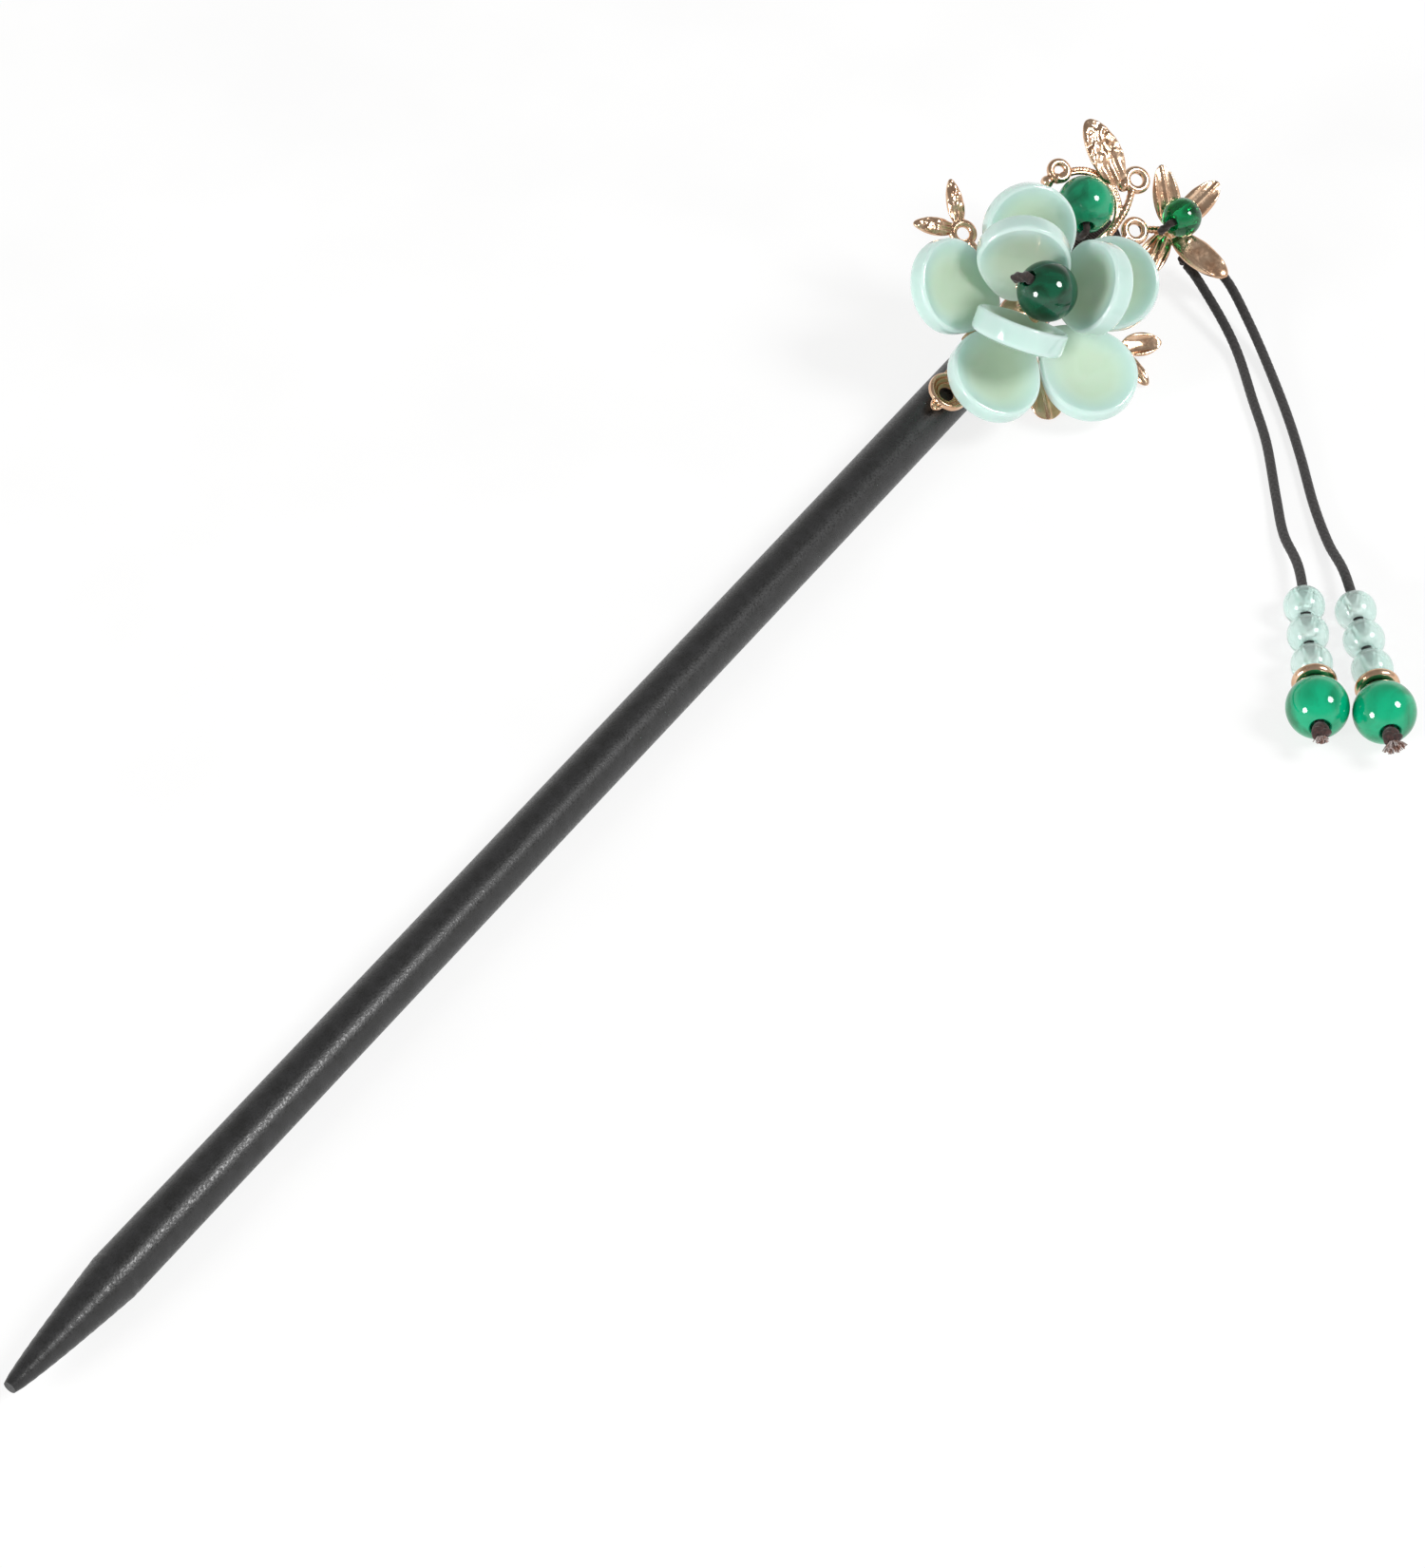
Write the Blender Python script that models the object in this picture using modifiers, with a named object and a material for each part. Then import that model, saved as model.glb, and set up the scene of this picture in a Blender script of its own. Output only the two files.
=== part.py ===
"""Hair stick with a pressed-glass flower, cast sprigs and two beaded tassels.

The pin lies on the plane Z = 0. Its stick runs along X with the point at -X and the head at +X.
The flower leans over the head end, and both tassels lie on the plane on the -Y side.
Lengths are in metres and angles in degrees.
"""

import math

import bmesh
import bpy
from mathutils import Matrix, Vector

MM = 0.001
GAP = 0.00015  # between pieces that touch

# Stick
STICK_LENGTH = 0.174
HEAD_DIAMETER = 0.0049
BODY_DIAMETER = 0.0047
POINT_LENGTH = 0.0135
POINT_DIAMETER = 0.0012
POINT_CURVE = 0.75  # under 1, so the point is convex
GROOVE_DEPTH = 0.00055
GROOVE_LENGTH = 0.0088
HEAD_RIM = 0.0006

# How far the ornament reaches past the stick, which sets where the middle of the pin is
REACH_PAST_HEAD = 0.0063
REACH_NEAR = 0.0159
REACH_FAR = 0.0107

# Flower
FLOWER_FROM_HEAD = 0.0182
FLOWER_ROLL = 31.7
FLOWER_LEAN = 17.0
FLOWER_TWIST = -46.9
PETAL_RADIUS = 0.0047
PETAL_DISH = 0.0011
PETAL_RIM = 0.0020
PETAL_BACK = 0.0005
INNER_RIM = 0.0024
OUTER_ROOT_STRETCH = 1.32
INNER_ROOT_STRETCH = 0.95
PETAL_ROOT_NARROW = 0.32
PETAL_ROOT_THIN = 0.35
# Each outer petal is wired on by hand: angle round the flower, how far its middle is beyond the centre
# bead's radius, its height and its tilt
OUTER_PETALS = [
    (94, 0.0045, 0.0096, 26),
    (170, 0.0055, 0.0096, 27),
    (239, 0.0052, 0.0094, 16),
    (312, 0.0053, 0.0092, 15),
    (21, 0.0052, 0.0096, 22),
]
# Each inner petal stands against the centre bead: angle round the flower, tilt, gap from the bead to the
# petal's rim plane, and how far the petal's middle is to the side of the bead and up from it
INNER_PETALS = [
    (77, 55, 0.0004, -0.0023, -0.0004),
    (256, 62, 0.0003, 0.0013, 0.0002),
    (359, 65, 0.0014, -0.0013, 0.0006),
]

# Mount plate under the flower
SADDLE_ROLL = 26.0
STRAP_THICKNESS = 0.0007
STRAP_HALF_ANGLE = 30.0
STRAP_TAIL = 0.0030  # from the head end
SEAT_HEIGHT = 0.0045
SEAT_THICKNESS = 0.0006
SEAT_RADIUS = 0.0026
BOSS_RADIUS = 0.0011
EYELET_FROM_HEAD = 0.0320
EYELET_RADIUS = 0.0021
EYELET_HOLE = 0.00075
LASHING_OFFSET = 0.00075
LASHING_RADIUS = 0.00305

# Beads and cords
BEAD_LARGE = 0.0060
BEAD_TOP = 0.0058
BEAD_SMALL = 0.0040
BORE_LARGE = 0.0018
BORE_SMALL = 0.0016
BORE_SETTING = 0.0014
THREAD = 0.0007
CORD = 0.0010
LIGHT_BEADS = 3
SPACER_DIAMETER = 0.0043
SPACER_THICKNESS = 0.0010
SPACER_NEST = 0.0003  # the balls sit a little way into the spacer's dished faces
KNOT_DIAMETER = 0.0018
TIE_DIAMETER = 0.0013
STRAIGHT_RUN = 0.0050  # straight cord ahead of the stack, for its beads to slide on

CENTRE_BEAD_PLACE = (-0.5, 0.25, 13.8)
CENTRE_BEAD_BORE = (-0.82, 0.25, 0.51)
TOP_BEAD_PLACE = (6.84, 12.43, 4.5)
TOP_BEAD_BORE = (-0.085, -0.94, 0.32)
SIDE_BEAD_PLACE = (17.0, 11.8, 4.7)
SIDE_BEAD_BORE = (-0.76, -0.51, 0.39)

# The two drop beads lie side by side
LEFT_DROP = Vector((-47.3, -51.35))
DROP_TO_DROP = (BEAD_LARGE + 0.00017) / MM
RIGHT_DROP = LEFT_DROP + DROP_TO_DROP * Vector((math.cos(math.radians(-62)), math.sin(math.radians(-62))))
TIE_ABOVE_AXIS = 0.85

# Each tassel: tie, the cord's free points, the drop bead's place and the way its stack points.
# Places are in millimetres from the head end of the stick, with Z from the plane it lies on.
TASSELS = {
    "left": {
        "tie": (0.2, -9.5),
        "free": [
            (-1.2, -12.1, 2.9),
            (-4.1, -16.7, 1.8),
            (-6.7, -20.1, 0.85),
            (-11.4, -24.4, 0.6),
            (-16.2, -28.7, 0.55),
            (-22.6, -33.4, 0.55),
            (-26.9, -36.6, 0.85),
        ],
        "drop": LEFT_DROP,
        "heading": 213.6,
    },
    "right": {
        "tie": (2.0, -10.4),
        "free": [
            (0.25, -14.7, 2.9),
            (-2.7, -18.9, 1.8),
            (-6.3, -23.2, 0.85),
            (-11.3, -28.2, 0.6),
            (-16.0, -32.4, 0.55),
            (-21.4, -36.9, 0.55),
            (-25.6, -40.8, 0.85),
        ],
        "drop": RIGHT_DROP,
        "heading": 218.9,
    },
}

HEAD_X = (STICK_LENGTH - REACH_PAST_HEAD) / 2
AXIS_Y = (REACH_NEAR - REACH_FAR) / 2
AXIS_Z = HEAD_DIAMETER / 2


def mm(*values):
    return Vector(values) * MM


def tie_place(tassel):
    return mm(*tassel["tie"], TIE_ABOVE_AXIS) + Vector((0, 0, AXIS_Z))


def turn(axis, degrees):
    return Matrix.Rotation(math.radians(degrees), 4, axis)


def aim(place, direction):
    """A matrix at place with Z along direction."""
    rotation = Vector(direction).to_track_quat("Z", "Y").to_matrix().to_4x4()
    return Matrix.Translation(place) @ rotation


def along(start, end):
    """A matrix at start with Y towards end and Z as near the parent's Z as it can be."""
    y = (end - start).normalized()
    x = y.cross(Vector((0, 0, 1))).normalized()
    columns = Matrix((x, y, x.cross(y))).transposed().to_4x4()
    return Matrix.Translation(start) @ columns


# Scene


def clear_scene():
    for thing in list(bpy.data.objects):
        bpy.data.objects.remove(thing)


def collection(name):
    made = bpy.data.collections.new(name)
    bpy.context.scene.collection.children.link(made)
    return made


def material(name, colour, roughness, metallic=0.0, transmission=0.0):
    made = bpy.data.materials.new(name)
    made.use_nodes = True
    shader = made.node_tree.nodes["Principled BSDF"]
    shader.inputs["Base Color"].default_value = (*colour, 1)
    shader.inputs["Roughness"].default_value = roughness
    shader.inputs["Metallic"].default_value = metallic
    shader.inputs["Transmission Weight"].default_value = transmission
    return made


def add(name, mesh, finish, parent, matrix=None):
    mesh.shade_smooth()
    mesh.set_sharp_from_angle(angle=math.radians(35))
    mesh.materials.clear()
    mesh.materials.append(finish)
    made = bpy.data.objects.new(name, mesh)
    pin.objects.link(made)
    made.parent = parent
    made.matrix_basis = matrix or Matrix()
    return made


def frame(name, parent, matrix):
    made = bpy.data.objects.new(name, None)
    pin.objects.link(made)
    made.parent = parent
    made.matrix_basis = matrix
    return made


# Meshes


def evaluated_mesh(source):
    """The source object's mesh, with its modifiers made real and its caps welded. It removes the source."""
    bpy.context.view_layer.update()
    graph = bpy.context.evaluated_depsgraph_get()
    made = bpy.data.meshes.new_from_object(source.evaluated_get(graph))
    bpy.data.objects.remove(source)
    shape = bmesh.new()
    shape.from_mesh(made)
    bmesh.ops.remove_doubles(shape, verts=shape.verts, dist=1e-6)
    shape.to_mesh(made)
    shape.free()
    return made


def turned(profile, steps, closed=False):
    """A solid turned about Z. The profile's (radius, z) points run down its outer side."""
    points = [(radius, 0, z) for radius, z in profile]
    edges = [(k, k + 1) for k in range(len(points) - 1)]
    if closed:
        edges.append((len(points) - 1, 0))
    outline = bpy.data.meshes.new("profile")
    outline.from_pydata(points, edges, [])
    source = bpy.data.objects.new("profile", outline)
    pin.objects.link(source)
    screw = source.modifiers.new("turn", "SCREW")
    screw.steps = screw.render_steps = steps
    screw.use_merge_vertices = True
    screw.merge_threshold = 1e-6
    return evaluated_mesh(source)


def tube(points, radius, resolution=2):
    """A round wire through the points, with filled ends."""
    curve = bpy.data.curves.new("wire", "CURVE")
    curve.dimensions = "3D"
    curve.bevel_depth = radius
    curve.bevel_resolution = resolution
    curve.use_fill_caps = True
    spline = curve.splines.new("POLY")
    spline.points.add(len(points) - 1)
    for target, point in zip(spline.points, points):
        target.co = (*point, 1)
    source = bpy.data.objects.new("wire", curve)
    pin.objects.link(source)
    return evaluated_mesh(source)


def smooth_route(points, spacing):
    """Points about a spacing apart on a smooth curve through the given points."""
    ends = [2 * points[0] - points[1], *points, 2 * points[-1] - points[-2]]
    route = []
    for k in range(1, len(ends) - 2):
        a, b, c, d = ends[k - 1 : k + 3]
        steps = max(1, round((c - b).length / spacing))
        for step in range(steps):
            t = step / steps
            bend = (2 * a - 5 * b + 4 * c - d) * t**2 + (3 * b - a - 3 * c + d) * t**3
            route.append((2 * b + (c - a) * t + bend) / 2)
    return route + [points[-1]]


def bored_ball(diameter, bore, arcs=8, steps=20):
    radius = diameter / 2
    mouth = math.asin(bore / diameter)
    angles = [mouth + (math.pi - 2 * mouth) * k / arcs for k in range(arcs + 1)]
    return turned([(radius * math.sin(a), radius * math.cos(a)) for a in angles], steps, True)


def ring(radius, wire, steps=14, sides=6):
    angles = [-2 * math.pi * k / sides for k in range(sides)]
    return turned([(radius + wire * math.cos(a), wire * math.sin(a)) for a in angles], steps, True)


def ball(radius, sides=12):
    made = bpy.data.meshes.new("ball")
    shape = bmesh.new()
    bmesh.ops.create_uvsphere(shape, u_segments=sides, v_segments=sides // 2 + 2, radius=radius)
    shape.to_mesh(made)
    shape.free()
    return made


def leaf(length, width, thickness, point=0.45, cup=0.0, sides=12):
    """A leaf on +Y from the origin, pointed where point is high and blunt where low, dished by cup."""
    made = ball(0.5, sides)
    for vertex in made.vertices:
        x, y, z = vertex.co
        t = z + 0.5
        fullness = 1.25 - point * t * t - 0.2 * (1 - t)
        side = x * fullness
        rise = cup * (4 * side * side + 1.5 * (t - 0.4) ** 2)
        vertex.co = (side * width, t * length, y * thickness + rise * width)
    face_out(made)
    return made


def face_out(mesh):
    shape = bmesh.new()
    shape.from_mesh(mesh)
    bmesh.ops.recalc_face_normals(shape, faces=shape.faces)
    shape.to_mesh(mesh)
    shape.free()


# A casting is built as one union of simple shapes


def casting(name, parent, shapes):
    """One solid cast piece from (mesh, matrix) shapes that run into each other."""
    operands = bpy.data.collections.new(name + "_shapes")
    cutters.children.link(operands)
    (first, matrix), *others = shapes
    first.transform(matrix)
    whole = add(name, first, gold, parent)
    for index, (mesh, matrix) in enumerate(others):
        mesh.transform(matrix)
        operand = bpy.data.objects.new(f"{name}_shape_{index}", mesh)
        operands.objects.link(operand)
        operand.parent = parent
        operand.hide_render = True
        operand.display_type = "WIRE"
        joined = whole.modifiers.new(f"join_{index}", "BOOLEAN")
        joined.operation = "UNION"
        joined.object = operand
    return whole


def leaf_shape(base, tip, width, thickness=0.8, point=0.45, cup=0.0):
    start, end = mm(*base), mm(*tip)
    return leaf((end - start).length, width * MM, thickness * MM, point, cup), along(start, end)


def ring_shape(centre, radius=1.05, wire=0.42, tilt=0):
    return ring(radius * MM, wire * MM), Matrix.Translation(mm(*centre)) @ turn("X", tilt)


def ball_shape(centre, radius):
    return ball(radius * MM), Matrix.Translation(mm(*centre))


def stem_shape(points, radius=0.42):
    return tube(smooth_route([mm(*p) for p in points], 0.0016), radius * MM, 1), Matrix()


# Stick and lashing


def stick():
    length, body, head = STICK_LENGTH, BODY_DIAMETER / 2, HEAD_DIAMETER / 2
    tip = POINT_DIAMETER / 2
    groove = head - GROOVE_DEPTH
    profile = [(0, 0), (head - 0.0002, 0), (head, -0.0002), (head, -HEAD_RIM)]
    profile += [(groove, -HEAD_RIM - 0.0001), (groove, -HEAD_RIM - GROOVE_LENGTH)]
    profile += [(head, -HEAD_RIM - GROOVE_LENGTH - 0.0001), (body, -length * 0.6)]
    for k in range(6, -1, -1):
        share = k / 6
        profile.append((tip + (body - tip) * share**POINT_CURVE, POINT_LENGTH * share - length))
    profile.append((tip - 0.0001, -length))
    profile.append((0, -length))
    add("stick", turned(profile, 28), lacquer, head_frame, turn("Y", 90))


def lashing():
    """Thread wound over the strap and into the groove: an eccentric sleeve with a channel for the strap."""
    inner = HEAD_DIAMETER / 2 - GROOVE_DEPTH + GAP
    x_out = -HEAD_RIM - 0.0002
    x_in = -HEAD_RIM - GROOVE_LENGTH + 0.0002
    sleeve_profile = [(0, x_out), (LASHING_RADIUS - 0.0003, x_out), (LASHING_RADIUS, x_out - 0.0003)]
    sleeve_profile += [(LASHING_RADIUS, x_in + 0.0003), (LASHING_RADIUS - 0.0003, x_in), (0, x_in)]
    sleeve = turned(sleeve_profile, 24)
    sleeve.transform(Matrix.Translation((0, 0, LASHING_OFFSET)) @ turn("Y", 90))
    whole = add("head_lashing", sleeve, thread_finish, saddle_frame)
    core = turned([(0, 0.001), (inner, 0.001), (inner, -0.02), (0, -0.02)], 28)
    core.transform(turn("Y", 90))
    channel = strap_mesh(GAP)
    for label, mesh in (("core", core), ("channel", channel)):
        cutter = bpy.data.objects.new("lashing_" + label, mesh)
        cutters.objects.link(cutter)
        cutter.parent = saddle_frame
        cutter.hide_render = True
        cutter.display_type = "WIRE"
        cut = whole.modifiers.new(label, "BOOLEAN")
        cut.operation = "DIFFERENCE"
        cut.object = cutter


def strap_mesh(margin=0.0):
    """The curved strap on the stick's back, grown by margin on every side."""
    inner = HEAD_DIAMETER / 2 + GAP - margin
    outer = HEAD_DIAMETER / 2 + GAP + STRAP_THICKNESS + margin
    half = math.radians(STRAP_HALF_ANGLE) + margin / outer
    start = -EYELET_FROM_HEAD + EYELET_RADIUS - 0.0004
    end = -STRAP_TAIL + margin
    angles = [half * (2 * k / 6 - 1) for k in range(7)]
    outline = [(outer * math.sin(a), outer * math.cos(a)) for a in angles]
    outline += [(inner * math.sin(a), inner * math.cos(a)) for a in reversed(angles)]
    made = bpy.data.meshes.new("strap")
    shape = bmesh.new()
    face = shape.faces.new([shape.verts.new((start, y, z)) for y, z in outline])
    grown = bmesh.ops.extrude_face_region(shape, geom=[face])
    moved = [item for item in grown["geom"] if isinstance(item, bmesh.types.BMVert)]
    bmesh.ops.translate(shape, verts=moved, vec=(end - start, 0, 0))
    bmesh.ops.recalc_face_normals(shape, faces=shape.faces)
    shape.to_mesh(made)
    shape.free()
    return made


# Castings


def flower_mount():
    """Strap, eyelet, boss and seat disc under the flower, with one small bract."""
    to_flower = flower_matrix.inverted()
    saddle = to_flower @ turn("X", SADDLE_ROLL)
    level = HEAD_DIAMETER / 2 + GAP
    rim, hole = EYELET_RADIUS, EYELET_HOLE
    dished = [(hole, 0.0004), (rim - 0.0005, 0.0011), (rim - 0.0001, 0.001), (rim, 0.0006)]
    dished += [(rim - 0.0004, 0.0), (hole + 0.0001, 0.0)]
    eyelet_place = saddle @ Matrix.Translation((-EYELET_FROM_HEAD, 0, level))
    lip = (mm(-1.5, 0, 0.5), mm(-3.1, 0, 0.9))
    top = SEAT_HEIGHT + SEAT_THICKNESS
    edge, sunk = 0.0002, 0.0003
    seat = [(0, top), (SEAT_RADIUS - edge, top), (SEAT_RADIUS, top - edge)]
    seat += [(SEAT_RADIUS, SEAT_HEIGHT), (0, SEAT_HEIGHT)]
    boss = [(0, top - edge), (BOSS_RADIUS, top - edge)]
    boss += [(BOSS_RADIUS, level + sunk), (0, level + sunk)]
    shapes = [
        (strap_mesh(), saddle),
        (turned(dished, 20, True), eyelet_place),
        (leaf((lip[1] - lip[0]).length, 0.0013, 0.0006, 0.7), eyelet_place @ along(*lip)),
        (turned(boss, 12), Matrix()),
        (turned(seat, 20), Matrix()),
        leaf_shape((-1.9, -0.8, 4.8), (-6.5, -2.7, 5.0), 1.5, 0.7),
    ]
    casting("flower_mount", flower_frame, shapes)


def left_sprig():
    casting(
        "left_sprig",
        flower_frame,
        [
            stem_shape([(-0.95, 1.7, 4.0), (-2.6, 4.7, 4.0), (-4.9, 8.0, 3.1)]),
            ring_shape((-5.55, 8.9, 2.9), 1.05, 0.42),
            leaf_shape((-5.9, 9.6, 2.9), (-7.0, 14.3, 3.4), 1.75, 0.9),
            leaf_shape((-6.3, 9.3, 2.9), (-10.9, 9.4, 3.4), 1.85, 0.9),
        ],
    )


def top_branch():
    bead = TOP_BEAD_PLACE
    vine = [
        (bead[0] + 3.7 * math.cos(math.radians(a)), bead[1] + 3.7 * math.sin(math.radians(a)), 3.9)
        for a in range(130, -51, -30)
    ]
    casting(
        "top_branch",
        flower_frame,
        [
            stem_shape([*vine, (6.2, 7.1, 3.9), (3.0, 4.4, 3.9), (0.95, 1.7, 4.0)]),
            leaf_shape((10.7, 14.9, 3.9), (7.0, 21.2, 4.7), 3.4, 0.9, 0.3, 0.12),
            ring_shape((12.5, 15.6, 3.9)),
            ball_shape((11.1, 14.9, 3.8), 0.62),
            stem_shape([(12.1, 14.7, 3.9), (11.2, 12.2, 3.9), (9.4, 9.5, 3.9)], 0.4),
            ring_shape((4.3, 15.9, 3.9), 0.9, 0.4),
            ball_shape((3.1, 14.7, 3.7), 0.65),
            ball_shape((4.1, 15.1, 3.8), 0.55),
        ],
    )


def right_cluster():
    hub = (16.9, 11.3, 1.7)
    casting(
        "right_cluster",
        flower_frame,
        [
            stem_shape([(1.75, 0.8, 4.0), (5.0, 3.6, 3.8), (8.6, 7.0, 3.4), (11.75, 9.9, 2.9)]),
            ring_shape((12.6, 10.6, 2.9)),
            stem_shape([(13.4, 10.8, 2.8), (15.0, 11.1, 2.2), hub]),
            ball_shape(hub, 0.9),
            leaf_shape((16.8, 11.6, 1.8), (15.3, 17.6, 3.4), 2.9, 0.8, 0.45, 0.1),
            leaf_shape((17.2, 11.7, 1.8), (21.6, 16.3, 3.2), 2.6, 0.8, 0.25, 0.1),
            leaf_shape((17.0, 10.9, 1.8), (22.4, 6.5, 3.0), 2.9, 1.1, 0.3),
            leaf_shape((16.5, 10.8, 1.7), (14.3, 6.2, 2.3), 2.0, 0.8, 0.5),
            leaf_shape((16.3, 11.0, 1.7), (13.0, 7.7, 1.9), 1.5, 0.7, 0.5),
            (ring(0.75 * MM, 0.27 * MM), hub_loop_matrix()),
        ],
    )


def hub_loop_matrix():
    """The loop under the large leaf stands upright, above the two ties."""
    ties = [tie_place(tassel) for tassel in TASSELS.values()]
    middle = (ties[0] + ties[1]) / 2
    place = middle + mm(-0.4, 0.15, 1.7) - Vector((0, 0, AXIS_Z))
    return flower_matrix.inverted() @ Matrix.Translation(place) @ turn("X", 90)


def lower_sprigs():
    casting(
        "lower_right_sprig",
        flower_frame,
        [
            stem_shape([(1.9, -0.35, 4.0), (5.0, -1.2, 4.0), (8.4, -1.8, 3.9), (11.2, -2.0, 3.7)]),
            leaf_shape((10.6, -1.9, 3.7), (14.9, -1.1, 3.8), 2.4, 0.8, 0.5, 0.15),
            leaf_shape((10.3, -2.3, 3.9), (13.1, -5.9, 4.7), 1.6, 0.9, 0.2),
        ],
    )
    casting(
        "bottom_leaf",
        flower_frame,
        [
            stem_shape([(0.55, -2.4, 4.1), (1.1, -3.8, 4.4), (1.8, -5.4, 4.6)]),
            leaf_shape((1.4, -4.6, 4.5), (2.7, -10.2, 4.95), 2.6, 0.7, -0.5),
        ],
    )


# Flower


def petal_mesh(rim, root_stretch):
    """A dished disc with a thick rounded rim. Its root, on -Y, is drawn out, narrower and thinner."""
    radius, soft = PETAL_RADIUS, PETAL_RIM / 4
    hollow = 0.9 * radius
    profile = [(hollow * k / 3, -PETAL_DISH * (1 - (k / 3) ** 2)) for k in range(4)]
    profile += [(0.97 * radius, -0.1 * soft), (radius, -soft), (radius, soft - rim), (0.93 * radius, -rim)]
    profile.append((0, -rim - PETAL_BACK))
    made = turned(profile, 24)
    for vertex in made.vertices:
        t = max(0.0, -vertex.co.y / radius)
        vertex.co.x *= 1 - PETAL_ROOT_NARROW * t * t
        vertex.co.z *= 1 - PETAL_ROOT_THIN * t
        if t > 0:
            vertex.co.y *= root_stretch
    return made


def petals():
    for number, (angle, beyond, height, tilt) in enumerate(OUTER_PETALS, 1):
        out = Matrix.Translation((0, BEAD_LARGE / 2 + beyond, height))
        place = turn("Z", angle - 90) @ out @ turn("X", tilt)
        mesh = petal_mesh(PETAL_RIM, OUTER_ROOT_STRETCH)
        add(f"petal_outer_{number}", mesh, petal_glass, flower_frame, place)
    bead = Matrix.Translation(mm(*CENTRE_BEAD_PLACE))
    for number, (angle, tilt, clearance, across, up) in enumerate(INNER_PETALS, 1):
        back = -BEAD_LARGE / 2 - clearance
        place = bead @ turn("Z", angle - 90) @ turn("X", tilt) @ Matrix.Translation((across, up, back))
        mesh = petal_mesh(INNER_RIM, INNER_ROOT_STRETCH)
        add(f"petal_inner_{number}", mesh, petal_glass, flower_frame, place)


def claw_cap():
    """The small metal cup that the centre bead sits in."""
    x, y, z = mm(*CENTRE_BEAD_PLACE)
    seat = BEAD_LARGE / 2 + GAP
    wall = 0.0003
    low, high = math.radians(8), math.radians(51)
    arc = [low + (high - low) * k / 6 for k in range(7)]
    inner = [(seat * math.sin(a), -seat * math.cos(a)) for a in arc]
    outer = [((seat + wall) * math.sin(a), -(seat + wall) * math.cos(a)) for a in reversed(arc)]
    add("claw_cap", turned(inner + outer, 16, True), gold, flower_frame, Matrix.Translation((x, y, z)))


def set_beads():
    """The three beads set in the flower and the sprigs, each on its thread."""
    settings = (
        ("centre", BEAD_LARGE, CENTRE_BEAD_PLACE, CENTRE_BEAD_BORE, agate_dark),
        ("top", BEAD_TOP, TOP_BEAD_PLACE, TOP_BEAD_BORE, agate_green),
        ("side", BEAD_SMALL, SIDE_BEAD_PLACE, SIDE_BEAD_BORE, glass_green),
    )
    for label, diameter, place, bore, finish in settings:
        matrix = aim(mm(*place), bore)
        add(f"{label}_bead", bored_ball(diameter, BORE_SETTING), finish, flower_frame, matrix)
        reach = diameter / 2 + 0.0003
        line = [Vector((0, 0, reach - 2 * reach * k / 4)) for k in range(5)]
        add(f"{label}_bead_thread", tube(line, THREAD / 2), thread_finish, flower_frame, matrix)


# Tassels


def stack_line(tassel):
    """(drop bead's centre, direction from the tie's side to the knot). Every bead rests on the plane."""
    heading = math.radians(tassel["heading"])
    radius, small = BEAD_LARGE / 2, BEAD_SMALL / 2
    reach = drop_distance(LIGHT_BEADS)
    slope = math.asin((radius - small) / reach)
    direction = Vector((math.cos(heading), math.sin(heading), 0)) * math.cos(slope)
    direction.z = math.sin(slope)
    x, y = tassel["drop"]
    return Vector((x * MM, y * MM, radius)), direction


def drop_distance(count):
    """From the drop bead's centre back to the centre of the count-th light bead above the spacer."""
    first = BEAD_LARGE / 2 + SPACER_THICKNESS + BEAD_SMALL / 2 + 2 * GAP - SPACER_NEST
    return first + (count - 1) * (BEAD_SMALL + GAP)


def tassels():
    for side, tassel in TASSELS.items():
        drop, direction = stack_line(tassel)
        knot = drop + direction * (BEAD_LARGE / 2 + GAP + 0.35 * KNOT_DIAMETER)
        spacer = drop - direction * (BEAD_LARGE / 2 + GAP + SPACER_THICKNESS / 2 - SPACER_NEST / 2)
        large = bored_ball(BEAD_LARGE, BORE_LARGE)
        add(f"drop_bead_{side}", large, agate_green, table_frame, aim(drop, direction))
        add(f"spacer_{side}", spacer_mesh(), gold, table_frame, aim(spacer, direction))
        for number in range(1, LIGHT_BEADS + 1):
            centre = drop - direction * drop_distance(LIGHT_BEADS + 1 - number)
            light = bored_ball(BEAD_SMALL, BORE_SMALL, 7, 16)
            add(f"light_bead_{side}_{number}", light, glass_clear, table_frame, aim(centre, direction))
        add(f"end_knot_{side}", knot_mesh(), knot_finish, table_frame, aim(knot, direction))
        tie = tie_place(tassel)
        lump = ball(TIE_DIAMETER / 2)
        add(f"tie_knot_{side}", lump, thread_finish, table_frame, Matrix.Translation(tie))
        add(f"cord_{side}", cord_mesh(tassel, tie, drop, direction), cord_finish, table_frame)


def spacer_mesh():
    """A turned disc with a rounded rim, a bore, and faces dished for the balls on each side."""
    radius, half, bore = SPACER_DIAMETER / 2, SPACER_THICKNESS / 2, BORE_LARGE / 2
    dish = half - SPACER_NEST / 2
    profile = [(bore, dish), (0.6 * radius, half), (0.85 * radius, half), (radius, 0.4 * half)]
    profile += [(r, -z) for r, z in reversed(profile)]
    return turned(profile, 20, True)


def knot_mesh():
    made = ball(KNOT_DIAMETER / 2)
    made.transform(Matrix.Diagonal((1, 1, 0.7, 1)))
    return made


def cord_mesh(tassel, tie, drop, direction):
    free = [mm(*point) for point in tassel["free"]]
    start = tie + (free[0] - tie).normalized() * (TIE_DIAMETER / 2 + GAP)
    ahead = drop - direction * (drop_distance(LIGHT_BEADS) + STRAIGHT_RUN)
    middle = (ahead + drop) / 2
    end = drop + direction * (BEAD_LARGE / 2 - 0.0002)
    return tube(smooth_route([start, *free, ahead, middle, drop, end], 2.4 * CORD), CORD / 2)


clear_scene()
pin = collection("hair_pin")
cutters = collection("cutters")

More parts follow.
